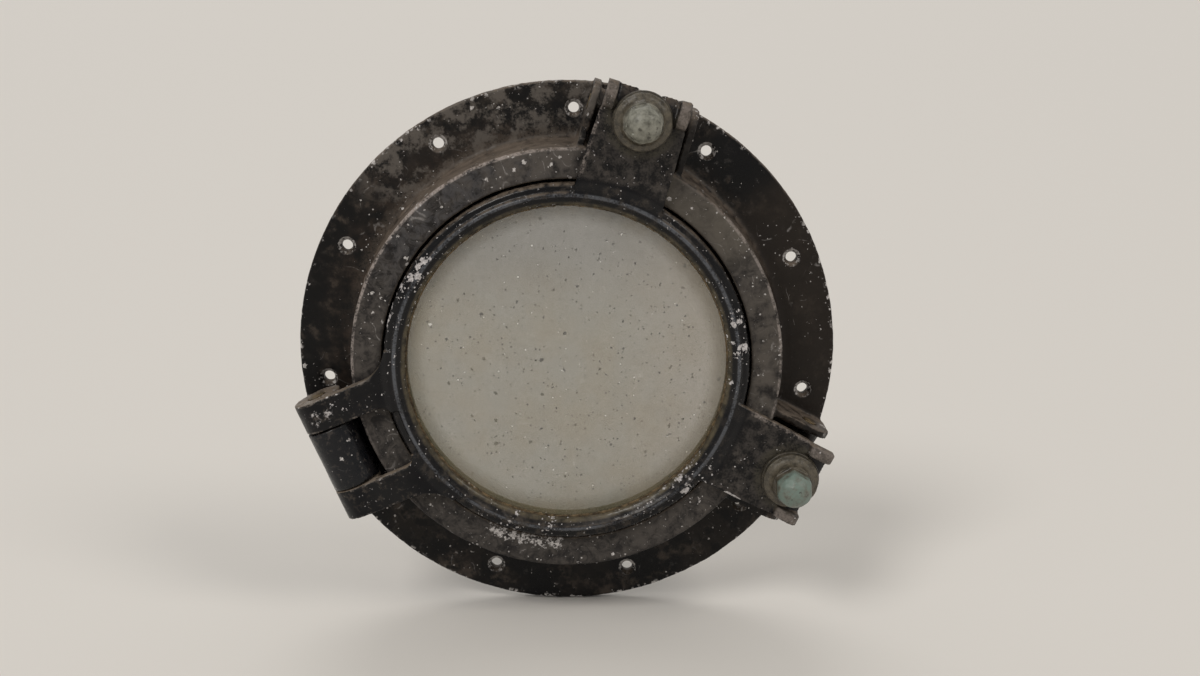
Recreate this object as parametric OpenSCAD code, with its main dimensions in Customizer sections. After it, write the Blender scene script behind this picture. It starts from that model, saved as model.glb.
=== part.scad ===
// Opening ship's porthole (side scuttle): main frame, hinged glazed sash and two swing-bolt dogs.
// The porthole's axis runs along Y and its room side faces -Y. The origin is on the axis,
// in the plane of the flange's back face, which seats on the ship's side.

/* [Main frame] */
// Thickness of the flange
flange_t = 9; // [7:0.5:14]
// Width of the flange outside the raised body
flange_w = 40.5; // [38:0.5:70]
// Height of the body's front face above the flange's back
body_h = 46; // [40:0.5:70]
// Width of the body's front face, from the sash recess to its edge
face_w = 21.5; // [18:0.5:40]
// Setback of the passage's wall behind the sash recess
passage_step = 6; // [3:0.5:10]
// Direction of the latch side, anticlockwise from the right as seen from the room
clock = 23; // [0:0.5:359.5]

/* [Flange screws] */
// Number of countersunk screw holes
hole_count = 11; // [6:1:18]
// Distance of the holes' centres from the flange's edge
hole_edge = 18.5; // [14:0.5:20]
// Diameter of the holes
hole_d = 7.2; // [5:0.1:9]
// Diameter of the countersinks
countersink_d = 12.4; // [9.5:0.1:16]

/* [Sash] */
// Clear diameter of the sash opening
sight_d = 218; // [150:1:350]
// Cover of the front lip and of the retaining ring over the glass
lip_w = 6.6; // [5:0.1:12]
// Wall of the sash around the glass
sash_wall = 8.4; // [7:0.1:14]
// Height of the sash's lip underside above the body's face
lip_seat_h = 2; // [1:0.1:4]
// Height of the rim's crest above the body's face
crest_h = 9.5; // [9:0.1:12]
// Thickness of the hinge arms and the dog lugs
plate_t = 8; // [7:0.1:12]

/* [Glass] */
// Thickness of the glass
glass_t = 8; // [6:0.5:12]
// Thickness of each bedding ring
bedding_t = 1.2; // [0.8:0.1:2]
// Thickness of the retaining ring
ring_t = 6.3; // [5:0.1:10]
// Number of spanner notches in the retaining ring
notch_count = 4; // [2:1:8]

/* [Gasket] */
// Width of the gasket
gasket_w = 6; // [4:0.1:7]
// Depth of the gasket's groove
groove_depth = 4.5; // [3:0.1:6]
// Height of the ledge that carries the gasket
ledge_t = 11; // [9:0.5:14]

/* [Hinge] */
// Radius of the hinge barrel
barrel_r = 17; // [14:0.5:20]
// Distance of the hinge axis from the body's edge
hinge_out = 21; // [19:0.5:26]
// Length of the frame's knuckle
knuckle_l = 43.8; // [30:0.2:60]
// Width of each hinge arm
arm_w = 21.8; // [16:0.2:30]
// Diameter of the hinge pin
hinge_pin_d = 12; // [8:0.5:14]

/* [Dogs] */
// Angle from the latch direction to each dog
dog_spread = 50.3; // [35:0.1:55]
// Distance of the dog's axis from the body's edge
dog_out = 25; // [22:0.5:30]
// Height of the dog's pin above the flange's front
dog_pin_h = 17; // [15:0.5:20]
// Diameter of the dog's pin
dog_pin_d = 10; // [8:0.5:12]
// Diameter of the swing bolt's shank
bolt_d = 12; // [10:0.5:14]
// Radius of the swing bolt's eye
eye_r = 11; // [9.5:0.5:13]
// Width of the swing bolt's eye
eye_w = 24; // [16:0.5:28]
// Thickness of each ear
ear_t = 5.5; // [4:0.5:8]
// Gap between the lug and each ear
ear_gap = 1; // [0.5:0.1:3]
// Half width of the lug at the body's edge
lug_half_w = 30; // [28:0.5:36]
// Radius of the washer
washer_r = 20; // [16:0.5:21]
// Thickness of the washer
washer_t = 3.6; // [2:0.1:6]
// Height of the cap nut
nut_h = 32; // [26:0.5:40]
// Width of the cap nut's hexagon across its corners
nut_corner_d = 26.4; // [24:0.2:28]

/* [Clearances] */
// Gap between the sash and the body's front face
face_gap = 0.6; // [0.4:0.1:1.5]
// Radial gap between the sash and its recess, for the swing of the sash
swing_gap = 1.5; // [1.4:0.1:3]
// Gap between a soft ring, or a resting washer, and its seat
rest_gap = 0.3; // [0.2:0.05:0.5]
// Gap between the knuckle and each arm
knuckle_gap = 0.5; // [0.3:0.1:1.5]
// Radial clearance of a pin or bolt that turns or slides
run_gap = 0.06; // [0.02:0.01:0.1]
// Radial clearance of a pin that is driven in
drive_gap = 0.03; // [0.01:0.01:0.05]

/* [Hidden] */
$fn = 128;

// Radii, worked outwards from the sight opening
sight_r = sight_d/2;
rebate_r = sight_r + lip_w;
sash_r = rebate_r + sash_wall;
recess_r = sash_r + swing_gap;
body_r = recess_r + face_w;
flange_r = body_r + flange_w;
hole_circle_r = flange_r - hole_edge;
passage_r = recess_r + passage_step;

// Levels above the flange's back, worked from the body's face into the glazing stack
plate_z = body_h + face_gap;
plate_top = plate_z + plate_t;
crest_z = body_h + crest_h;
lip_z = body_h + lip_seat_h;
glass_front = lip_z - bedding_t;
glass_back = glass_front - glass_t;
ring_front = glass_back - bedding_t;
ring_back = ring_front - ring_t;
sash_back = ring_back - 0.5;

// Gasket and the ledge that carries it
ledge_gap = 2;
ledge_z = sash_back - ledge_gap;
groove_z = ledge_z - groove_depth;
ledge_back = ledge_z - ledge_t;
groove_in = rebate_r + 0.6;
groove_out = groove_in + gasket_w + 2*rest_gap;
ledge_rim = 3.2;
ledge_r = groove_in - ledge_rim;
ledge_flare = 2.6;

// Casting details of the main frame
wall_draft = 1.5;
root_r = 5;
flange_edge_r = 1.6;
body_edge_r = 2;
recess_chamfer = 0.8;
foot_inset = 2;

// Casting details of the sash
shoulder_r = 3.6;
shoulder_drop = 2.7;
crest_in = 8;
crest_r = 2.3;
rim_drop = 3.2;
edge_break = 0.8;
arm_root_r = 26;
arm_inner_root_r = 6;

// Hinge
hinge_r = body_r + hinge_out;
hinge_z = plate_top - barrel_r;
arm_in = knuckle_l/2 + knuckle_gap;
arm_out = arm_in + arm_w;
knuckle_web_h = 22;
knuckle_foot = 16;

// Dogs
dog_r = body_r + dog_out;
dog_pin_z = flange_t + dog_pin_h;
seat_r = plate_top - dog_pin_z;
ear_in = lug_half_w + ear_gap;
ear_out = ear_in + ear_t;
ear_top = body_h - body_edge_r - 1;
ear_end_r = 14;
boss_r = 10.5;
lug_root_half_w = lug_half_w + 1.5;
lug_end_half_w = lug_half_w - 1.5;
lug_end = dog_r + 20;
lip_in = washer_r + 0.8;
lip_start = dog_r + 1;
lip_top = plate_top + 6.5;
lip_round = 6.5;
slot_gap = 1.5;
washer_z = plate_top + rest_gap;
nut_gap = 0.1;
nut_z = washer_z + washer_t + nut_gap;
skirt_r = washer_r - 0.9;
skirt_h = 4;
neck_r = 13.4;
neck_h = 12;
dome_r = nut_corner_d/2 - 0.4;
bolt_top = nut_z + nut_h - 11;
bore_end = 1.5;

// Turns a porthole laid flat, front up, into its own place, and points +X at the latch side.
module porthole_axis() {
    rotate([90, 0, 0]) rotate([0, 0, clock]) children();
}

// Points +X from the axis towards the hinge.
module towards_hinge() {
    rotate([0, 0, 180]) children();
}

// Points +X from the axis towards a dog: side is 1 for the upper dog and -1 for the lower one.
module towards_dog(side) {
    rotate([0, 0, side*dog_spread]) children();
}

// Extrudes an outline drawn in radius and height across the radius, from y0 to y1.
module across(y0, y1) {
    translate([0, y1, 0]) rotate([90, 0, 0]) linear_extrude(y1 - y0) children();
}

// A round bar across the radius.
module cross_bar(x, z, r, length) {
    translate([x, length/2, z]) rotate([90, 0, 0]) cylinder(h = length, r = r);
}

// Makes one copy on each side of the radius.
module both_sides() {
    children();
    mirror([0, 1, 0]) children();
}

// Points of an arc in radius and height.
function arc(centre, r, from, to, steps = 5) = [
    for (i = [0 : steps])
        let (a = from + (to - from)*i/steps)
        centre + r*[cos(a), sin(a)]
];

// Rectangular ring, turned about the axis.
module turned_ring(r_in, r_out, z_low, z_high) {
    translate([0, 0, z_low]) difference() {
        cylinder(h = z_high - z_low, r = r_out);
        translate([0, 0, -1]) cylinder(h = z_high - z_low + 2, r = r_in);
    }
}

// ---- Main frame: one casting with the flange, body, knuckle and ears ----

// Section of the round casting, from the flange's back round to the passage.
frame_section = concat(
    [[passage_r, 0], [flange_r, 0]],
    arc([flange_r - flange_edge_r, flange_t - flange_edge_r], flange_edge_r, 0, 90),
    arc([body_r + wall_draft + root_r, flange_t + root_r], root_r, 270, 180),
    arc([body_r - body_edge_r, body_h - body_edge_r], body_edge_r, 0, 90),
    [
        [recess_r + recess_chamfer, body_h], [recess_r, body_h - recess_chamfer],
        [recess_r, ledge_z], [groove_out, ledge_z], [groove_out, groove_z],
        [groove_in, groove_z], [groove_in, ledge_z], [ledge_r, ledge_z],
        [ledge_r + ledge_flare, ledge_back], [passage_r, ledge_back]
    ]
);

module flange_hole() {
    sink_depth = (countersink_d - hole_d)/2;
    translate([hole_circle_r, 0, -1]) cylinder(h = flange_t + 2, d = hole_d, $fn = 32);
    translate([hole_circle_r, 0, flange_t - sink_depth])
        cylinder(h = sink_depth + 0.01, d1 = hole_d, d2 = countersink_d + 0.02, $fn = 32);
}

// Pillow block of the hinge, with a foot down to the flange and a low web to the body.
module knuckle() {
    foot_z = flange_t - foot_inset;
    across(-knuckle_l/2, knuckle_l/2) {
        translate([hinge_r, hinge_z]) circle(r = barrel_r, $fn = 64);
        translate([hinge_r - knuckle_foot, foot_z])
            square([2*knuckle_foot, hinge_z - foot_z]);
        translate([body_r - 6, foot_z])
            square([hinge_out + 6, knuckle_web_h - foot_z]);
    }
}

// One ear beside a lug, with its round end and the boss that carries the dog's pin.
module ear() {
    foot_z = flange_t - foot_inset;
    end_x = flange_r - ear_end_r - 0.5;
    across(ear_in, ear_out) {
        translate([body_r - 6, foot_z]) square([end_x - body_r + 6, ear_top - foot_z]);
        translate([end_x, ear_top - ear_end_r]) circle(r = ear_end_r, $fn = 64);
        translate([end_x, foot_z]) square([ear_end_r, ear_top - ear_end_r - foot_z]);
    }
    across(eye_w/2 + knuckle_gap, ear_in + 1)
        translate([dog_r, dog_pin_z]) circle(r = boss_r, $fn = 64);
}

module main_frame() {
    color([0.13, 0.12, 0.11]) porthole_axis() difference() {
        union() {
            rotate_extrude($fn = 180) polygon(frame_section);
            towards_hinge() knuckle();
            for (side = [-1, 1]) towards_dog(side) both_sides() ear();
        }
        for (i = [0 : hole_count - 1]) rotate([0, 0, i*360/hole_count]) flange_hole();
        towards_hinge()
            cross_bar(hinge_r, hinge_z, hinge_pin_d/2 + drive_gap, knuckle_l + 2, $fn = 64);
        for (side = [-1, 1]) towards_dog(side)
            cross_bar(dog_r, dog_pin_z, dog_pin_d/2 + drive_gap, 2*ear_out + 2, $fn = 64);
    }
}

module sash_gasket() {
    color([0.09, 0.09, 0.09]) porthole_axis()
        turned_ring(groove_in + rest_gap, groove_out - rest_gap, groove_z, sash_back - rest_gap);
}

module hinge_pin() {
    color([0.45, 0.38, 0.25]) porthole_axis() towards_hinge()
        cross_bar(hinge_r, hinge_z, hinge_pin_d/2, 2*arm_out, $fn = 64);
}

module dog_pin(side) {
    color([0.45, 0.38, 0.25]) porthole_axis() towards_dog(side)
        cross_bar(dog_r, dog_pin_z, dog_pin_d/2, 2*ear_out, $fn = 64);
}

module dog_pin_upper() {
    dog_pin(1);
}

module dog_pin_lower() {
    dog_pin(-1);
}

// ---- Sash: one casting with the rim, two hinge arms and two forked lugs ----

// Section of the rim: rounded shoulder, crest, then the front lip over the glass.
crest_x = sash_r - crest_in;
sash_section = concat(
    [[rebate_r, sash_back], [sash_r - edge_break, sash_back], [sash_r, sash_back + edge_break]],
    arc([sash_r - shoulder_r, crest_z - shoulder_drop - shoulder_r], shoulder_r, 0, 90),
    [[sash_r - 4.8, crest_z - shoulder_drop - 0.5]],
    arc([crest_x, crest_z - crest_r], crest_r, 0, 150),
    [[sight_r + 1.4, crest_z - rim_drop], [sight_r, crest_z - rim_drop - 1.2],
     [sight_r, lip_z], [rebate_r, lip_z]]
);

// Plan of both hinge arms, with wide fillets outside and small ones between them.
module arm_plan() {
    outer_x = sqrt(pow(sash_r + arm_root_r, 2) - pow(arm_out + arm_root_r, 2));
    root_a = atan2(arm_out + arm_root_r, outer_x);
    inner_y = arm_in - arm_inner_root_r;
    inner_x = sqrt(pow(sash_r + arm_inner_root_r, 2) - pow(inner_y, 2));
    difference() {
        union() {
            translate([0, arm_in]) square([hinge_r, arm_w]);
            polygon([
                [0, 0], [outer_x, arm_in + 1], [outer_x, arm_out + arm_root_r],
                (sash_r + arm_root_r)*[cos(root_a), sin(root_a)]
            ]);
            translate([0, inner_y]) square([inner_x, arm_in - inner_y + 1]);
        }
        translate([outer_x, arm_out + arm_root_r]) circle(r = arm_root_r, $fn = 96);
        translate([inner_x, inner_y]) circle(r = arm_inner_root_r, $fn = 48);
        circle(r = crest_x, $fn = 180);
    }
}

module hinge_arms() {
    both_sides() {
        translate([0, 0, plate_z]) linear_extrude(plate_t) arm_plan();
        across(arm_in, arm_out)
            translate([hinge_r, hinge_z]) circle(r = barrel_r, $fn = 64);
    }
}

// Forked lug. Its outer half falls away on an arc about the dog's pin, so the dog can swing
// out past it, and a raised lip stands on each side of the seat.
module lug() {
    translate([0, 0, plate_z]) linear_extrude(plate_t) difference() {
        polygon([
            [0, -lug_root_half_w], [body_r, -lug_half_w], [dog_r, -lug_end_half_w - 0.6],
            [dog_r, lug_end_half_w + 0.6], [body_r, lug_half_w], [0, lug_root_half_w]
        ]);
        circle(r = crest_x, $fn = 180);
    }
    intersection() {
        translate([dog_r - 1, -lug_end_half_w, plate_z])
            cube([lug_end - dog_r + 1, 2*lug_end_half_w, plate_t]);
        cross_bar(dog_r, dog_pin_z, seat_r, 2*lug_end_half_w + 2, $fn = 128);
    }
    both_sides() across(lip_in, lug_end_half_w) {
        low = lip_top - lip_round;
        translate([lip_start, plate_z]) square([lug_end - lip_start, low - plate_z]);
        translate([lip_start + lip_round, low]) circle(r = lip_round, $fn = 48);
        translate([lug_end - lip_round, low]) circle(r = lip_round, $fn = 48);
        translate([lip_start + lip_round, plate_z])
            square([lug_end - lip_start - 2*lip_round, lip_top - plate_z]);
    }
}

// Slot of the lug, open outwards, that the swing bolt's shank lies in.
module lug_slot() {
    slot_r = bolt_d/2 + slot_gap;
    translate([dog_r, 0, plate_z - 1]) cylinder(h = plate_t + 10, r = slot_r, $fn = 48);
    translate([dog_r, -slot_r, plate_z - 1]) cube([lug_end - dog_r + 10, 2*slot_r, plate_t + 10]);
}

module sash_frame() {
    color([0.10, 0.10, 0.11]) porthole_axis() difference() {
        union() {
            rotate_extrude($fn = 180) polygon(sash_section);
            towards_hinge() hinge_arms();
            for (side = [-1, 1]) towards_dog(side) lug();
        }
        towards_hinge()
            cross_bar(hinge_r, hinge_z, hinge_pin_d/2 + run_gap, 2*arm_out + 2, $fn = 64);
        for (side = [-1, 1]) towards_dog(side) lug_slot();
    }
}

// ---- Glazing ----

bedding_overhang = 1.3;
thread_gap = 0.1;
ring_flare = 2.6;
ring_land = 2.2;

module front_bedding() {
    color([0.42, 0.34, 0.20]) porthole_axis()
        turned_ring(sight_r - bedding_overhang, rebate_r - rest_gap, glass_front, lip_z);
}

module glass_pane() {
    color([0.70, 0.74, 0.68, 0.5]) porthole_axis() translate([0, 0, glass_back])
        cylinder(h = glass_t, r = rebate_r - rest_gap, $fn = 180);
}

module rear_bedding() {
    color([0.42, 0.34, 0.20]) porthole_axis()
        turned_ring(sight_r, rebate_r - rest_gap, ring_front, glass_back);
}

module retaining_ring() {
    color([0.40, 0.33, 0.22]) porthole_axis() difference() {
        rotate_extrude($fn = 180) polygon([
            [sight_r, ring_front], [sight_r, ring_front - ring_land],
            [sight_r + ring_flare, ring_back], [rebate_r - thread_gap, ring_back],
            [rebate_r - thread_gap, ring_front]
        ]);
        for (i = [0 : notch_count - 1]) rotate([0, 0, 45 + i*360/notch_count])
            translate([sight_r, -3, ring_back - 1]) cube([lip_w - 1.5, 6, 3]);
    }
}

// ---- Dogs: eye bolt, washer and cap nut, twice ----

module dog_bolt(side) {
    color([0.40, 0.36, 0.25]) porthole_axis() towards_dog(side) difference() {
        union() {
            cross_bar(dog_r, dog_pin_z, eye_r, eye_w, $fn = 64);
            translate([dog_r, 0, dog_pin_z])
                cylinder(h = bolt_top - dog_pin_z, d = bolt_d, $fn = 64);
        }
        cross_bar(dog_r, dog_pin_z, dog_pin_d/2 + run_gap, eye_w + 2, $fn = 64);
    }
}

module dog_washer(side) {
    round_r = 1.2;
    color([0.33, 0.30, 0.22]) porthole_axis() towards_dog(side)
        translate([dog_r, 0, washer_z]) rotate_extrude($fn = 96) polygon(concat(
            [[bolt_d/2 + run_gap, 0], [washer_r - 0.6, 0], [washer_r, 0.6]],
            arc([washer_r - round_r, washer_t - round_r], round_r, 0, 90),
            [[bolt_d/2 + run_gap, washer_t]]
        ));
}

// Cap nut: a skirt that sweeps up to a hexagon with a domed end, and a blind bore.
module dog_nut(side) {
    skirt_section = concat(
        [[0, 0], [skirt_r - 0.5, 0], [skirt_r, 0.5], [skirt_r, skirt_h - 1]],
        arc([skirt_r - 1, skirt_h - 1], 1, 20, 80, 3),
        [for (i = [1 : 6])
            let (a = 15*i)
            [neck_r + (skirt_r - 1.4 - neck_r)*(1 - sin(a)),
             skirt_h + 0.2 + (neck_h - skirt_h)*(1 - cos(a))]],
        [[0, neck_h]]
    );
    cap_section = concat(
        [[0, neck_h - 2], [dome_r, neck_h - 2]],
        arc([0, nut_h - dome_r], dome_r, 0, 90, 12)
    );
    color([0.50, 0.60, 0.52]) porthole_axis() towards_dog(side)
        translate([dog_r, 0, nut_z]) difference() {
            union() {
                rotate_extrude($fn = 96) polygon(skirt_section);
                intersection() {
                    rotate_extrude($fn = 96) polygon(cap_section);
                    cylinder(h = nut_h, d = nut_corner_d, $fn = 6);
                }
            }
            translate([0, 0, -1])
                cylinder(h = bolt_top - nut_z + bore_end + 1, r = bolt_d/2 + run_gap, $fn = 64);
        }
}

module dog_bolt_upper() {
    dog_bolt(1);
}

module dog_bolt_lower() {
    dog_bolt(-1);
}

module dog_washer_upper() {
    dog_washer(1);
}

module dog_washer_lower() {
    dog_washer(-1);
}

module dog_nut_upper() {
    dog_nut(1);
}

module dog_nut_lower() {
    dog_nut(-1);
}

main_frame();
sash_gasket();
hinge_pin();
dog_pin_upper();
dog_pin_lower();
sash_frame();
front_bedding();
glass_pane();
rear_bedding();
retaining_ring();
dog_bolt_upper();
dog_bolt_lower();
dog_washer_upper();
dog_washer_lower();
dog_nut_upper();
dog_nut_lower();
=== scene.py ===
import bpy
import math
from mathutils import Matrix, Vector


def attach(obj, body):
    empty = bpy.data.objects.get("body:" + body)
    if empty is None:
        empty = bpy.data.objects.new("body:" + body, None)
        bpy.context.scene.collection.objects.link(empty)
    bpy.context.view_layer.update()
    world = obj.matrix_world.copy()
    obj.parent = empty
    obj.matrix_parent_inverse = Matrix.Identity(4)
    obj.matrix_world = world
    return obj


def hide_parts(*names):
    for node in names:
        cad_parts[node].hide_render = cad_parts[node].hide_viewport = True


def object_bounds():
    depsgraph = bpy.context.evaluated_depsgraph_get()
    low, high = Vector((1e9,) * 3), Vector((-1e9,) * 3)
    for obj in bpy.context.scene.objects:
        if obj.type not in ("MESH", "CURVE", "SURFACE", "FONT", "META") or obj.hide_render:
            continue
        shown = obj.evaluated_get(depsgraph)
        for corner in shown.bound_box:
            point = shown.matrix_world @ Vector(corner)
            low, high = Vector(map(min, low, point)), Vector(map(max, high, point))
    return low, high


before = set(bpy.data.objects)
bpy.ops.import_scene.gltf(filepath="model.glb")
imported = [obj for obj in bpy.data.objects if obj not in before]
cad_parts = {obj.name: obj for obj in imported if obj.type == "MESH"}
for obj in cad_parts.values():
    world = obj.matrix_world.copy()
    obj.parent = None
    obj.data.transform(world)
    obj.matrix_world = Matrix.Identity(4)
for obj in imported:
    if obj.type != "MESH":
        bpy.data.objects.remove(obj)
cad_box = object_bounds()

# ---- Camera, floor and lights ----
# A viewer stands a metre in front of the porthole, a little above it, and looks slightly down.
# The porthole stands on its rim on a plain pale floor, under broad soft lamps.
camera = bpy.data.objects.new("camera", bpy.data.cameras.new("camera"))
bpy.context.scene.collection.objects.link(camera)
camera.data.lens, camera.data.sensor_width = 45.0, 36.0
camera.data.clip_start, camera.data.clip_end = 0.05, 200.0
view_right = Vector((0.99992, -0.0120, 0.0030))
view_up = Vector((0.0, 0.24239, 0.97018))
view_back = view_right.cross(view_up)
camera.matrix_world = Matrix.Translation((0.0099, -1.029, 0.2636)) @ Matrix(
    (view_right, view_up, view_back)).transposed().to_4x4()
bpy.context.scene.camera = camera
bpy.context.scene.view_settings.view_transform = "Standard"

bpy.ops.object.select_all(action="DESELECT")
bpy.ops.mesh.primitive_plane_add(size=80, location=(0, 0, cad_box[0].z - 0.0004))
floor = bpy.context.object
floor.name = "floor"
pale_floor = bpy.data.materials.new("pale_floor")
pale_floor.use_nodes = True
pale_floor.node_tree.nodes["Principled BSDF"].inputs["Base Color"].default_value = (0.70, 0.67, 0.63, 1)
pale_floor.node_tree.nodes["Principled BSDF"].inputs["Roughness"].default_value = 0.6
floor.data.materials.append(pale_floor)

sky = bpy.data.worlds.new("soft_room")
sky.use_nodes = True
sky.node_tree.nodes["Background"].inputs["Color"].default_value = (1.0, 0.985, 0.96, 1)
sky.node_tree.nodes["Background"].inputs["Strength"].default_value = 0.42
bpy.context.scene.world = sky


def broad_lamp(name, towards, width, power, colour):
    lamp = bpy.data.objects.new(name, bpy.data.lights.new(name, "SUN"))
    lamp.data.angle, lamp.data.energy, lamp.data.color = math.radians(width), power, colour
    lamp.rotation_euler = Vector(towards).to_track_quat("-Z", "Y").to_euler()
    bpy.context.scene.collection.objects.link(lamp)


broad_lamp("lamp_over_left", (0.62, 0.75, -1.0), 22, 1.15, (1.0, 0.98, 0.95))
broad_lamp("lamp_over_right", (-0.9, 0.55, -1.0), 22, 0.65, (1.0, 0.96, 0.90))
broad_lamp("lamp_behind", (0.1, -0.7, -1.0), 30, 0.45, (1.0, 0.98, 0.95))


# ---- Main frame ----
# One casting in light alloy: the flange that screws to the ship's side, the raised round body,
# the hinge's knuckle and the dogs' ears. It is painted black; the front ring has been rubbed
# to a warm grey, dust lies on whatever faces up, and the paint has chipped down to pale metal.
class Shade:
    """A socket of the material being made. Sums and products of sockets add their nodes."""

    tree = None

    def __init__(self, socket):
        self.socket = socket

    @classmethod
    def node(cls, kind, settings, values, out=0):
        made = cls.tree.nodes.new(kind)
        for name, setting in settings.items():
            setattr(made, name, setting)
        for key, value in values.items():
            if isinstance(value, Shade):
                cls.tree.links.new(value.socket, made.inputs[key])
            else:
                made.inputs[key].default_value = value
        if isinstance(out, tuple):
            return [cls(made.outputs[name]) for name in out]
        return cls(made.outputs[out])

    def maths(self, operation, other, swap=False):
        pair = (other, self) if swap else (self, other)
        return Shade.node("ShaderNodeMath", {"operation": operation}, {0: pair[0], 1: pair[1]})

    def __add__(self, other):
        return self.maths("ADD", other)

    def __sub__(self, other):
        return self.maths("SUBTRACT", other)

    def __rsub__(self, other):
        return self.maths("SUBTRACT", other, True)

    def __mul__(self, other):
        return self.maths("MULTIPLY", other)

    def __truediv__(self, other):
        return self.maths("DIVIDE", other)

    def __pow__(self, other):
        return self.maths("POWER", other)

    def __or__(self, other):
        return self.maths("MAXIMUM", other)

    __radd__, __rmul__ = __add__, __mul__

    def ease(self, start, end, low=0.0, high=1.0):
        """Runs smoothly from low at start to high at end, and stays there."""
        return Shade.node("ShaderNodeMapRange", {"interpolation_type": "SMOOTHSTEP"},
                          {0: self, 1: start, 2: end, 3: low, 4: high})

    def band(self, start, end, soft):
        """1 between start and end, 0 outside, over a soft margin."""
        return self.ease(start - soft, start + soft) * self.ease(end + soft, end - soft)


def mix(under, over, amount):
    """Lays one colour over another."""
    return Shade.node("ShaderNodeMix", {"data_type": "RGBA"}, {0: amount, 6: under, 7: over}, out=2)


def rgb(red, green, blue):
    return (red, green, blue, 1.0)


class Spot:
    """Where a point of the porthole is, in millimetres: across, out towards the room, up, and from the axis."""

    def __init__(self):
        at, facing = Shade.node("ShaderNodeTexCoord", {}, {}, out=("Object", "Normal"))
        self.place = Shade.node("ShaderNodeVectorMath", {"operation": "SCALE"}, {0: at, "Scale": 1000.0})
        self.x, inward, self.z = Shade.node("ShaderNodeSeparateXYZ", {}, {0: self.place}, out=(0, 1, 2))
        self.out = 0.0 - inward
        self.r = (self.x * self.x + self.z * self.z) ** 0.5
        turned, self.faces_up = Shade.node("ShaderNodeSeparateXYZ", {}, {0: facing}, out=(1, 2))
        self.faces_room = 0.0 - turned

    def towards(self, degrees, spread):
        """1 in a direction seen from the room, anticlockwise from the right, fading out over the spread."""
        a = math.radians(degrees)
        along = (self.x * math.cos(a) + self.z * math.sin(a)) / (self.r + 0.01)
        return along.ease(math.cos(math.radians(spread)), 1.0)

    def cloud(self, size, detail=3.0, rough=0.55, seed=0.0):
        """Soft noise with patches of about this size."""
        moved = Shade.node("ShaderNodeVectorMath", {"operation": "ADD"},
                           {0: self.place, 1: (seed * 37.1, seed * 17.3, seed * 53.9)})
        return Shade.node("ShaderNodeTexNoise", {"noise_dimensions": "3D"},
                          {"Vector": moved, "Scale": 1 / size, "Detail": detail, "Roughness": rough})

    def flecks(self, apart, across, cover=1.0, seed=0.0):
        """Ragged spots in cells this far apart, the widest this many millimetres across; cover thins them out."""
        ragged = Shade.node("ShaderNodeTexNoise", {"noise_dimensions": "3D"},
                            {"Vector": self.place, "Scale": 1.3 / across, "Detail": 3.0, "Roughness": 0.7}, out=1)
        pushed = Shade.node("ShaderNodeVectorMath", {"operation": "MULTIPLY_ADD"},
                            {0: ragged, 1: (across * 1.5,) * 3, 2: self.place})
        moved = Shade.node("ShaderNodeVectorMath", {"operation": "ADD"},
                           {0: pushed, 1: (seed * 61.7, seed * 29.9, seed * 43.3)})
        distance, tint = Shade.node("ShaderNodeTexVoronoi", {}, {"Vector": moved, "Scale": 1 / apart},
                                    out=("Distance", "Color"))
        chance = Shade.node("ShaderNodeSeparateColor", {}, {0: tint})
        reach = (chance ** 2.5) * cover * (across * 0.62 / apart)
        return (reach - distance).ease(0.0, 0.10 * across / apart)

    def beside(self, degrees):
        """How far to the side of that direction, in millimetres."""
        a = math.radians(degrees)
        return self.z * math.cos(a) - self.x * math.sin(a)

    def near(self, degrees, radius, reach):
        """1 round a point this far from the axis in that direction, fading out at the reach."""
        a = math.radians(degrees)
        across, up = self.x - radius * math.cos(a), self.z - radius * math.sin(a)
        return ((across * across + up * up) ** 0.5).ease(reach, reach * 0.8)

    def hairlines(self, size, seed=0.0):
        """Thin wandering scratches."""
        level = self.cloud(size, 1.5, 0.5, seed) - 0.5
        return Shade.node("ShaderNodeMath", {"operation": "ABSOLUTE"}, {0: level}).ease(0.010, 0.003)


def new_finish(name):
    """Starts a material; what follows is added to its node tree."""
    made = bpy.data.materials.new(name)
    made.use_nodes = True
    made.node_tree.nodes.remove(made.node_tree.nodes["Principled BSDF"])
    Shade.tree = made.node_tree
    return made, Spot()


def close_finish(made, colour, roughness, height, depth, **fixed):
    """Ends a material: colour and roughness, a height in millimetres for the relief, and fixed values."""
    relief = Shade.node("ShaderNodeBump", {}, {"Height": height, "Distance": 0.001, "Strength": depth})
    values = {"Base Color": colour, "Roughness": roughness, "Normal": relief}
    values.update({key.replace("_", " "): value for key, value in fixed.items()})
    coat = Shade.node("ShaderNodeBsdfPrincipled", {}, values)
    Shade.tree.links.new(coat.socket, made.node_tree.nodes["Material Output"].inputs["Surface"])
    return made


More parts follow.
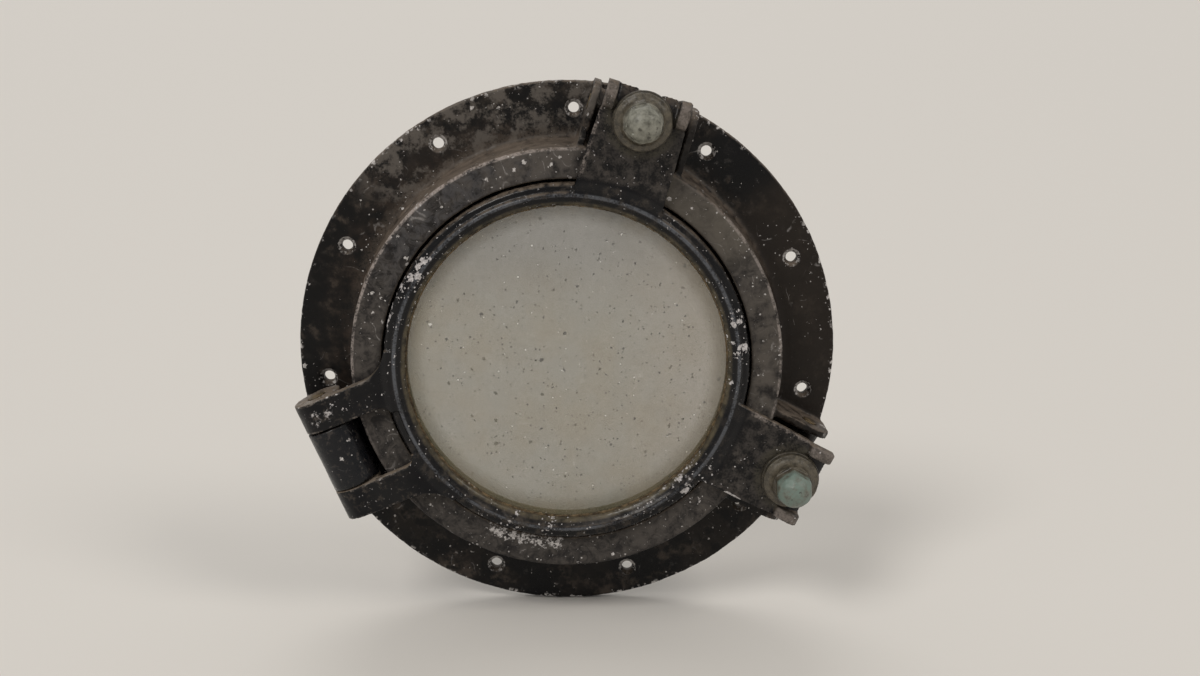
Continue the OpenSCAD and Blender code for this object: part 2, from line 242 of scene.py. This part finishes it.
def cast_copy(node, name, grain, roughcast, keep):
    """A worn copy of a piece: edges softened over the grain, skin uneven by the roughcast and mostly pushed inwards."""
    piece = bpy.data.objects.new(name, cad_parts[node].data.copy())
    bpy.context.scene.collection.objects.link(piece)
    piece.data.materials.clear()
    bpy.ops.object.select_all(action="DESELECT")
    piece.select_set(True)
    bpy.context.view_layer.objects.active = piece
    bpy.ops.object.mode_set(mode="EDIT")
    bpy.ops.mesh.select_all(action="SELECT")
    bpy.ops.mesh.remove_doubles(threshold=0.00002)
    bpy.ops.object.mode_set(mode="OBJECT")
    skin = piece.modifiers.new("skin", "REMESH")
    skin.mode, skin.voxel_size, skin.use_smooth_shade = "VOXEL", grain, True
    rub = piece.modifiers.new("rub", "SMOOTH")
    rub.factor, rub.iterations = 0.5, 2
    for lump, (size, rise) in enumerate(roughcast):
        sand = bpy.data.textures.new(f"{name}_sand_{lump}", "CLOUDS")
        sand.noise_scale, sand.noise_depth = size, 2
        uneven = piece.modifiers.new(f"uneven_{lump}", "DISPLACE")
        uneven.texture, uneven.strength, uneven.mid_level = sand, rise, 0.78
        uneven.texture_coords = "LOCAL"
    if keep < 1:
        thin = piece.modifiers.new("thin", "DECIMATE")
        thin.ratio = keep
    for modifier in [m.name for m in piece.modifiers]:
        bpy.ops.object.modifier_apply(modifier=modifier)
    bpy.ops.object.shade_smooth()
    return piece


main_frame = cast_copy("main_frame", "main_frame_casting", 0.0011,
                       ((0.02, 0.0006), (0.0045, 0.0004)), 0.4)

hinge_side = 203  # degrees anticlockwise from the right, seen from the room
painted_frame, spot = new_finish("worn_black_frame_paint")
flange = spot.r.ease(149.0, 151.0)
front_ring = spot.r.band(124.0, 146.6, 0.4) * spot.out.ease(44.4, 45.4) * spot.faces_room.ease(0.5, 0.9)
body_wall = spot.r.band(144.0, 153.0, 1.2) * spot.out.band(9.6, 45.0, 1.0) * spot.faces_room.ease(0.75, 0.4)
broad, middling, fine = spot.cloud(42, seed=1), spot.cloud(9, 4, 0.6, 2), spot.cloud(1.6, 4, 0.65, 3)

black = mix(rgb(0.0020, 0.0019, 0.0024), rgb(0.0125, 0.0096, 0.0078), broad.ease(0.40, 0.60))
mottle = (middling * 0.6 + fine * 0.4).ease(0.50, 0.68)
patches = (broad * 0.5 + spot.cloud(18, seed=9) * 0.5).ease(0.42, 0.6)
black = mix(black, rgb(0.030, 0.0265, 0.025), mottle * patches * 0.8)
smear_side = spot.towards(102, 46).ease(0.0, 0.5)
grime = spot.cloud(24, 5, 0.70, 21).ease(0.49, 0.60)
black = mix(black, rgb(0.050, 0.039, 0.031), grime * middling.ease(0.35, 0.65) * flange)
black = mix(black, rgb(0.088, 0.080, 0.074), spot.cloud(7, 5, 0.74, 22).ease(0.58, 0.68) * (0.30 + smear_side * 0.5))
black = mix(black, rgb(0.0016, 0.0016, 0.0020), spot.cloud(17, 4, 0.66, 23).ease(0.52, 0.60) * 0.8)
# painted shade: the flange is darkened on its left side
painted_shade_left_side = spot.towards(182, 48).ease(0.0, 0.4) * middling.ease(0.72, 0.45)
black = mix(black, rgb(0.0024, 0.0021, 0.0022), painted_shade_left_side * 0.95)
black = mix(black, rgb(0.018, 0.013, 0.0095), spot.towards(4, 44).ease(0.0, 0.5) * broad.ease(0.15, 0.5) * 0.75)
brown_side = spot.towards(152, 62) * spot.r.ease(182.0, 150.0)
black = mix(black, rgb(0.046, 0.031, 0.022), brown_side * middling.ease(0.3, 0.75) * 0.75)
smear = smear_side * spot.cloud(14, 5, 0.68, 8).ease(0.45, 0.58) * flange
black = mix(black, rgb(0.115, 0.100, 0.087), smear * 0.85)

streaks = Shade.node("ShaderNodeTexNoise", {"noise_dimensions": "3D"},
                     {"Vector": spot.place, "Scale": 0.11, "Detail": 5.0, "Roughness": 0.7, "Distortion": 1.2})
rubbed = mix(rgb(0.017, 0.015, 0.0145), rgb(0.080, 0.070, 0.062), (streaks * 0.6 + middling * 0.4).ease(0.38, 0.62))
rubbed = mix(rubbed, rgb(0.062, 0.063, 0.070), spot.towards(125, 40) * streaks.ease(0.4, 0.6) * 0.5)
rubbed = mix(rubbed, rgb(0.088, 0.076, 0.064), spot.towards(0, 30) * middling.ease(0.3, 0.6) * 0.6)
rubbed = mix(rubbed, rgb(0.112, 0.098, 0.080), spot.towards(50, 24) * broad.ease(0.25, 0.6) * 0.75)
rubbed = mix(rubbed, rgb(0.092, 0.080, 0.070), spot.towards(97, 26) * middling.ease(0.3, 0.6) * 0.7)
# painted shade: the rubbed ring is darkened towards the lower left
rubbed = mix(rubbed, rgb(0.030, 0.027, 0.025), spot.towards(-110, 70) * middling.ease(0.3, 0.8) * 0.6)
colour = mix(black, rubbed, front_ring * middling.ease(0.15, 0.4))
caked = spot.r.band(124.8, 126.6, 0.4) * spot.out.ease(36.0, 41.0)
colour = mix(colour, rgb(0.085, 0.072, 0.060), caked * fine.ease(0.2, 0.5))

dusty = rgb(0.150, 0.118, 0.092)
dust = spot.faces_up.ease(0.10, 0.8) * spot.cloud(7, 4, 0.65, 4).ease(0.28, 0.62)
wall_dust = body_wall * spot.towards(118, 75) * middling.ease(0.2, 0.6)
colour = mix(colour, dusty, (dust * 0.8) | (wall_dust * 0.9))
foot_dust = spot.r.band(147.0, 156.0, 3.0) * spot.out.ease(13.0, 9.5) * spot.towards(115, 65)
colour = mix(colour, rgb(0.080, 0.062, 0.048), foot_dust * fine.ease(0.3, 0.6) * 0.7)

ring_edge = spot.r.band(144.6, 147.8, 0.5) * spot.out.ease(42.8, 44.6)
worn_arc = spot.towards(140, 78) | (spot.towards(12, 50) * 0.65)
rubbed_edge = ring_edge * worn_arc * (fine * 0.5 + middling * 0.5).ease(0.42, 0.58)
colour = mix(colour, rgb(0.36, 0.31, 0.285), rubbed_edge * 0.85)

rim = spot.r.ease(183.6, 186.2)
sunk = spot.r.band(162.0, 176.0, 0.6) * spot.out.band(5.0, 8.7, 0.3) * spot.faces_room.band(0.3, 0.93, 0.06)
gathered = spot.cloud(22, 2, 0.5, 10).ease(0.44, 0.62)
chips = spot.flecks(6.0, 2.6, gathered * 0.8 + rim * 0.7 + front_ring * 0.2 + 0.2, 1) | spot.flecks(
    2.8, 1.2, gathered * 0.8 + front_ring * 0.3 + 0.35, 2)
chips = chips | (spot.flecks(3.2, 4.2, 1.0, 3) * rim * spot.cloud(16, 3, 0.6, 12).ease(0.45, 0.58))
flaked = (spot.cloud(3.4, 5, 0.72, 6) + rim * 0.06 + gathered * 0.025).ease(0.71, 0.73)
spilled = (spot.towards(-103, 15).ease(0.0, 0.5) * spot.r.band(124.0, 135.0, 3.0) * 0.17
           + spot.cloud(3.4, 5, 0.74, 7)).ease(0.66, 0.68)
chips = (chips | flaked) | (spilled * front_ring)
chips = chips | (sunk * (fine * 0.6 + middling * 0.4 - spot.faces_up * 0.10).ease(0.45, 0.56) * 0.7)
chips = chips | (spot.hairlines(26, 4) * gathered * middling.ease(0.5, 0.62) * 0.30)
pale = mix(rgb(0.30, 0.28, 0.27), rgb(0.60, 0.57, 0.55), fine.ease(0.35, 0.65))
colour = mix(colour, pale, chips)

barrel = spot.towards(hinge_side, 14).ease(0.0, 0.2) * spot.out.ease(14.0, 20.0) * spot.r.ease(148.0, 151.0)
colour = mix(colour, rgb(0.0040, 0.0048, 0.0070), barrel * (1.0 - chips) * 0.85)
shelf = barrel * spot.cloud(5, 5, 0.7, 25).ease(0.54, 0.66)
colour = mix(colour, rgb(0.060, 0.050, 0.044), shelf * 0.6)
roughness = broad.ease(0.3, 0.7, 0.26, 0.46) + fine.ease(0.3, 0.7, -0.06, 0.12) - barrel * 0.14
roughness = roughness + front_ring * 0.18 + (dust | wall_dust) * 0.3 + chips * 0.3
height = fine * 0.14 + spot.cloud(0.5, 2, 0.5, 5) * 0.035 + middling * 0.22 - chips * 0.10
main_frame.data.materials.append(close_finish(
    painted_frame, colour, roughness, height, 0.9, Specular_IOR_Level=0.20,
    Coat_Weight=barrel * 0.22, Coat_Roughness=0.10))
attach(main_frame, "frame")
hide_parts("main_frame")


# ---- Sash gasket ----
# A ring of black rubber pressed into the frame's ledge, which the closed sash bears on.
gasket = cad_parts["sash_gasket"]
rubber, spot = new_finish("black_rubber_gasket")
crackle, bloom = spot.cloud(0.9, 4, 0.6, 1), spot.cloud(8, 3, 0.5, 2)
colour = mix(rgb(0.014, 0.014, 0.014), rgb(0.05, 0.048, 0.044), bloom.ease(0.45, 0.7))
gasket.data.materials.clear()
gasket.data.materials.append(close_finish(rubber, colour, crackle.ease(0.3, 0.7, 0.55, 0.8), crackle * 0.08, 0.6))


# ---- Hinge pin and dog pins ----
# Turned bronze bars, driven in from the side and dressed flush. Old and brown, a little
# polished where they were filed off.
bronze_bar, spot = new_finish("brown_bronze_pin")
tarnish, scratch = spot.cloud(4, 4, 0.6, 1), spot.cloud(0.6, 3, 0.6, 2)
colour = mix(rgb(0.10, 0.072, 0.042), rgb(0.26, 0.19, 0.105), tarnish.ease(0.35, 0.65))
colour = mix(colour, rgb(0.12, 0.16, 0.12), spot.cloud(2.4, 4, 0.6, 3).ease(0.58, 0.7) * 0.7)
close_finish(bronze_bar, colour, tarnish.ease(0.3, 0.7, 0.38, 0.6), scratch * 0.05, 0.6, Metallic=0.75)
for pin in ("hinge_pin", "dog_pin_upper", "dog_pin_lower"):
    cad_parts[pin].data.materials.clear()
    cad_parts[pin].data.materials.append(bronze_bar)


# ---- Sash frame ----
# One casting that holds the glass: a rounded rim, two arms that reach the hinge pin, and two
# forked lugs with raised lips for the dogs. Glossier black than the frame, with a painted highlight
# along the rim's crest, painted shade in the grooves beside it, and the paint knocked off in flakes
# down the lower side.
sash = cast_copy("sash_frame", "sash_casting", 0.001, ((0.015, 0.0005), (0.0045, 0.0004)), 0.62)

upper_lug, lower_lug = 73.3, -27.3  # degrees, as for the hinge
dog_circle = 172  # millimetres from the axis to each swing bolt
painted_sash, spot = new_finish("chipped_gloss_black_sash_paint")
broad, middling, fine = spot.cloud(30, seed=11), spot.cloud(7, 4, 0.6, 12), spot.cloud(1.4, 4, 0.65, 13)
rim = spot.r.ease(126.5, 124.0)
plates = spot.out.ease(53.0, 54.2) * spot.r.ease(126.0, 130.0)
colour = mix(rgb(0.0028, 0.0029, 0.0040), rgb(0.0085, 0.0080, 0.0085), broad.ease(0.38, 0.66))
charcoal = mix(rgb(0.0060, 0.0056, 0.0060), rgb(0.046, 0.040, 0.036), (middling * 0.65 + fine * 0.35).ease(0.40, 0.62))
charcoal = mix(charcoal, rgb(0.080, 0.069, 0.060), spot.cloud(10, 5, 0.72, 21).ease(0.54, 0.66) * 0.6)
lugs = spot.towards(upper_lug, 15) | spot.towards(lower_lug, 15)
colour = mix(colour, charcoal, plates * lugs.ease(0.0, 0.25))

arm_dust = spot.towards(hinge_side, 28) * spot.faces_room.ease(0.7, 0.3) * spot.faces_up.ease(-0.2, 0.3)
dust = spot.faces_up.ease(0.25, 0.95) * spot.cloud(6, 4, 0.65, 14).ease(0.3, 0.62)
colour = mix(colour, rgb(0.215, 0.168, 0.126), (dust * 0.7) | (arm_dust * middling.ease(0.15, 0.45)))

wall_inside = spot.r.ease(113.0, 110.5)
olive = mix(rgb(0.030, 0.026, 0.018), rgb(0.105, 0.085, 0.052), middling.ease(0.35, 0.65))
colour = mix(colour, olive, wall_inside * 0.85)

# painted highlight: a bluish-grey line along the rim's crest
painted_crest_highlight = spot.r.band(115.2, 117.6, 0.5) * spot.out.ease(52.0, 54.5)
colour = mix(colour, rgb(0.105, 0.110, 0.122), painted_crest_highlight * (broad * 0.5 + fine * 0.5).ease(0.38, 0.56) * 0.75)
# painted shade: the grooves either side of the crest are darkened
painted_groove_shade = spot.r.band(112.0, 114.2, 0.6) | spot.r.band(118.6, 121.5, 0.8)
colour = mix(colour, rgb(0.0022, 0.0022, 0.0030), painted_groove_shade * spot.out.ease(47.0, 49.0) * 0.7)
muck = rim * spot.cloud(10, 5, 0.7, 20).ease(0.50, 0.64) * (spot.towards(-90, 95) | (spot.towards(75, 45) * 0.7))
colour = mix(colour, rgb(0.062, 0.052, 0.043), muck * 0.7)

off_upper = spot.beside(upper_lug)
off_lower = spot.beside(lower_lug)
off_hinge = spot.beside(hinge_side)
upper_edge = spot.towards(upper_lug, 15).ease(0.0, 0.05) * off_upper.band(27.2, 32.0, 0.7)
lower_edge = spot.towards(lower_lug, 16).ease(0.0, 0.05) * off_lower.band(27.2, 32.0, 0.7)
lips = spot.out.ease(56.5, 59.5) * spot.r.ease(165.0, 170.0)
lip_grey = lips * spot.r.ease(160.0, 168.0)
colour = mix(colour, rgb(0.105, 0.090, 0.078), lip_grey * middling.ease(0.2, 0.5) * 0.85)
stain = (spot.near(upper_lug, dog_circle, 27) | spot.near(lower_lug, dog_circle, 27)) * plates
colour = mix(colour, rgb(0.062, 0.055, 0.040), stain * (middling * 0.5 + fine * 0.5).ease(0.35, 0.6) * 0.8)
worn = ((upper_edge | lower_edge) * spot.r.ease(128.0, 134.0) * spot.out.ease(51.0, 53.0)) | (lips * 0.8)
worn = worn * (fine * 0.45 + middling * 0.55).ease(0.44, 0.58)
colour = mix(colour, rgb(0.23, 0.195, 0.175), worn * 0.75)

busy = ((spot.towards(-103, 24) | spot.towards(150, 34)) | spot.towards(-50, 26)) | (spot.towards(10, 26) * 0.8)
gathered = spot.cloud(16, 2, 0.5, 19).ease(0.44, 0.60)
rim_chips = spot.flecks(4.2, 3.4, gathered * (0.25 + busy * rim * 0.95) + busy * rim * 0.25 + 0.1, 4) | spot.flecks(
    2.2, 1.4, gathered * 0.5 + busy * rim * 0.6 + 0.3, 5)
clumps = (spot.cloud(3.2, 5, 0.74, 15) + busy * rim * gathered * 0.13).ease(0.69, 0.71)
arm_patch = (spot.r.band(160.0, 178.0, 5.0) * off_hinge.band(-40.0, -27.0, 5.0) * spot.towards(hinge_side, 20) * 0.24
             + spot.cloud(6, 6, 0.78, 16)).ease(0.68, 0.76)
lug_patch = (spot.r.band(140.0, 152.0, 3.0) * off_lower.band(-33.0, -28.5, 1.0) * spot.towards(-40, 14) * 0.5
             + spot.cloud(5, 4, 0.6, 17)).ease(0.72, 0.76)
arms = spot.towards(hinge_side, 30).ease(0.0, 0.2) * spot.r.ease(130.0, 140.0)
either_side = (off_hinge * off_hinge) ** 0.5
arm_edge = either_side.band(21.0, 24.0, 0.6) | either_side.band(42.6, 46.0, 0.6)
arm_edge = arm_edge * arms * (fine * 0.4 + spot.cloud(6, 4, 0.65, 22) * 0.6).ease(0.48, 0.58)
colour = mix(colour, rgb(0.20, 0.172, 0.150), arm_edge * 0.7)
colour = mix(colour, rgb(0.050, 0.041, 0.034), arms * spot.cloud(8, 6, 0.74, 23).ease(0.53, 0.63) * 0.75)
rim_chips = rim_chips | (spot.flecks(3.4, 2.0, gathered * 0.5 + 0.4, 8) * arms)
chips = (rim_chips | clumps) | (arm_patch | lug_patch)
pale = mix(rgb(0.30, 0.28, 0.28), rgb(0.62, 0.59, 0.58), fine.ease(0.35, 0.65))
colour = mix(colour, pale, chips)

roughness = broad.ease(0.3, 0.7, 0.16, 0.30) + fine.ease(0.3, 0.7, -0.04, 0.10)
roughness = roughness + plates * 0.13 + dust * 0.3 + (chips | worn) * 0.3
gloss = (rim * 0.16 + arms * 0.05) * (1.0 - (chips | muck))
height = fine * 0.09 + spot.cloud(0.5, 2, 0.5, 18) * 0.03 + middling * 0.10 - chips * 0.09
sash.data.materials.append(close_finish(
    painted_sash, colour, roughness, height, 0.8, Specular_IOR_Level=0.18,
    Coat_Weight=gloss, Coat_Roughness=0.12))
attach(sash, "sash")
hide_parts("sash_frame")


# ---- Bedding of the glass ----
# Putty laid in front of and behind the pane. It has hardened, gone brown and stands a
# little proud of the lip all round.
putty, spot = new_finish("hardened_brown_putty")
grains, stain = spot.cloud(0.8, 4, 0.65, 1), spot.cloud(5, 4, 0.6, 2)
colour = mix(rgb(0.050, 0.034, 0.020), rgb(0.235, 0.165, 0.085), (stain * 0.6 + grains * 0.4).ease(0.38, 0.64))
colour = mix(colour, rgb(0.42, 0.37, 0.30), spot.flecks(3.5, 1.6, 0.9, 3))
close_finish(putty, colour, 0.78, grains * 0.25 + stain * 0.2, 0.9)
for ring in ("front_bedding", "rear_bedding"):
    bead = cast_copy(ring, f"{ring}_putty", 0.0006, ((0.006, 0.0010), (0.002, 0.0007)), 1)
    bead.data.materials.append(putty)
    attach(bead, "sash")
    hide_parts(ring)


# ---- Glass pane ----
# A thick flat disc of clear glass with a faint green cast. Both faces are dirty: a film of
# dust, rain marks, and small dark and pale spots.
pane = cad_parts["glass_pane"]
dirty_glass, spot = new_finish("dirty_green_glass")
film, wipe = spot.cloud(34, 3, 0.5, 1), spot.cloud(9, 5, 0.65, 2)
colour = mix(rgb(0.125, 0.118, 0.072), rgb(0.200, 0.168, 0.098), (film * 0.6 + wipe * 0.4).ease(0.35, 0.65))
# painted shade: the glass darkens towards the top
colour = mix(colour, rgb(0.060, 0.060, 0.050), spot.z.ease(20.0, 95.0) * 0.8)
colour = mix(colour, rgb(0.210, 0.160, 0.100), spot.x.ease(20.0, 100.0) * 0.5)
dark_spots = spot.flecks(8, 2.6, 1.0, 4) | spot.flecks(2.8, 1.3, 1.0, 5)
wiped = spot.hairlines(18, 8) * wipe.ease(0.5, 0.65) * 0.25
pale_spots = spot.flecks(10, 1.8, 1.0, 6) | (spot.flecks(4.6, 0.9, 1.0, 7) | wiped)
colour = mix(colour, rgb(0.045, 0.040, 0.032), dark_spots)
colour = mix(colour, rgb(0.75, 0.74, 0.70), pale_spots)
rim_dirt = spot.r.ease(94.0, 108.5)
colour = mix(colour, rgb(0.16, 0.135, 0.09), rim_dirt * wipe.ease(0.3, 0.7) * 0.8)
cover = 0.45 + (film - 0.5) * 0.16 + (wipe - 0.5) * 0.12 + rim_dirt * 0.2
cover = cover | (dark_spots * 0.75) | (pale_spots * 0.85)
relief = Shade.node("ShaderNodeBump", {}, {"Height": film * 0.03, "Distance": 0.001, "Strength": 0.1})
coat = Shade.node("ShaderNodeBsdfPrincipled", {}, {
    "Base Color": colour, "Roughness": 0.14 + film.ease(0.3, 0.7, 0.0, 0.14),
    "Alpha": cover, "Normal": relief, "IOR": 1.45, "Specular IOR Level": 0.4})
Shade.tree.links.new(coat.socket, dirty_glass.node_tree.nodes["Material Output"].inputs["Surface"])
pane.data.materials.clear()
pane.data.materials.append(dirty_glass)


# ---- Retaining ring ----
# A flat bronze ring with spanner notches, screwed into the back of the sash to hold the glass.
dull_bronze, spot = new_finish("dull_brown_bronze_ring")
tarnish, grain = spot.cloud(12, 4, 0.6, 1), spot.cloud(1.0, 4, 0.6, 2)
colour = mix(rgb(0.085, 0.060, 0.034), rgb(0.21, 0.155, 0.08), (tarnish * 0.7 + grain * 0.3).ease(0.36, 0.64))
colour = mix(colour, rgb(0.10, 0.17, 0.13), spot.cloud(6, 5, 0.65, 3).ease(0.58, 0.70) * 0.75)
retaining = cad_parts["retaining_ring"]
retaining.data.materials.clear()
retaining.data.materials.append(close_finish(
    dull_bronze, colour, tarnish.ease(0.3, 0.7, 0.42, 0.66), grain * 0.07, 0.6, Metallic=0.7))


# ---- Swing bolts ----
# Forged bronze eye bolts that turn on the dog pins; the shanks pass through the forked lugs.
forged, spot = new_finish("brown_bronze_swing_bolt")
tarnish, grain = spot.cloud(6, 4, 0.6, 1), spot.cloud(0.8, 4, 0.6, 2)
colour = mix(rgb(0.085, 0.066, 0.038), rgb(0.22, 0.17, 0.095), (tarnish * 0.6 + grain * 0.4).ease(0.36, 0.64))
colour = mix(colour, rgb(0.14, 0.22, 0.17), spot.cloud(3.5, 5, 0.65, 3).ease(0.56, 0.70) * 0.8)
close_finish(forged, colour, tarnish.ease(0.3, 0.7, 0.42, 0.66), grain * 0.08, 0.6, Metallic=0.6)
for bolt in ("dog_bolt_upper", "dog_bolt_lower"):
    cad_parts[bolt].data.materials.clear()
    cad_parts[bolt].data.materials.append(forged)


# ---- Washers ----
# Broad turned bronze washers, dark olive brown with grease and dirt.
greasy, spot = new_finish("olive_brown_bronze_washer")
tarnish, grain = spot.cloud(5, 4, 0.6, 1), spot.cloud(0.9, 4, 0.6, 2)
colour = mix(rgb(0.020, 0.017, 0.012), rgb(0.074, 0.061, 0.042), (tarnish * 0.6 + grain * 0.4).ease(0.36, 0.64))
close_finish(greasy, colour, tarnish.ease(0.3, 0.7, 0.38, 0.6), grain * 0.08 + tarnish * 0.08, 0.7, Metallic=0.35)
for side in ("upper", "lower"):
    washer = cast_copy(f"dog_washer_{side}", f"washer_{side}_bronze", 0.0005, ((0.006, 0.0003), (0.0015, 0.0002)), 1)
    washer.data.materials.append(greasy)
    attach(washer, f"washer_{side}")
    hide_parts(f"dog_washer_{side}")


# ---- Cap nuts ----
# Bronze cap nuts with a broad brown skirt and a domed top that has gone pale green.
# The hexagon's corners are worn round by years of spanners.
verdigris, spot = new_finish("verdigris_bronze_cap_nut")
patina, crust, grain = spot.cloud(5, 4, 0.6, 1), spot.cloud(2.2, 5, 0.7, 2), spot.cloud(0.6, 3, 0.6, 3)
bronze = mix(rgb(0.030, 0.025, 0.017), rgb(0.110, 0.092, 0.064), (patina * 0.6 + grain * 0.4).ease(0.36, 0.64))
green = mix(rgb(0.115, 0.113, 0.090), rgb(0.245, 0.240, 0.200), (patina * 0.8 + crust * 0.2).ease(0.36, 0.64))
lower_nut = spot.towards(lower_lug, 30).ease(0.0, 0.4)
green = mix(green, rgb(0.115, 0.185, 0.160), lower_nut * patina.ease(0.3, 0.6) * 0.7)
domed = spot.out.ease(66.0, 74.0) * (1.0 - lower_nut * spot.out.ease(78.0, 73.0))
grown = domed * (crust * 0.5 + patina * 0.5 + domed * 0.16).ease(0.46, 0.60)
colour = mix(bronze, green, grown)
colour = mix(colour, rgb(0.62, 0.66, 0.58), spot.flecks(4.6, 1.3, 1.0, 6) * domed * 0.7)
colour = mix(colour, rgb(0.035, 0.030, 0.022), spot.flecks(5.4, 2.4, 1.0, 7) * domed * 0.7)
close_finish(verdigris, colour, patina.ease(0.3, 0.7, 0.30, 0.56), patina * 0.25 + grain * 0.03, 0.6)
for side in ("upper", "lower"):
    nut = cast_copy(f"dog_nut_{side}", f"cap_nut_{side}_bronze", 0.0004, ((0.007, 0.0010), (0.0025, 0.0003)), 1)
    nut.data.materials.append(verdigris)
    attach(nut, f"nut_{side}")
    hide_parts(f"dog_nut_{side}")
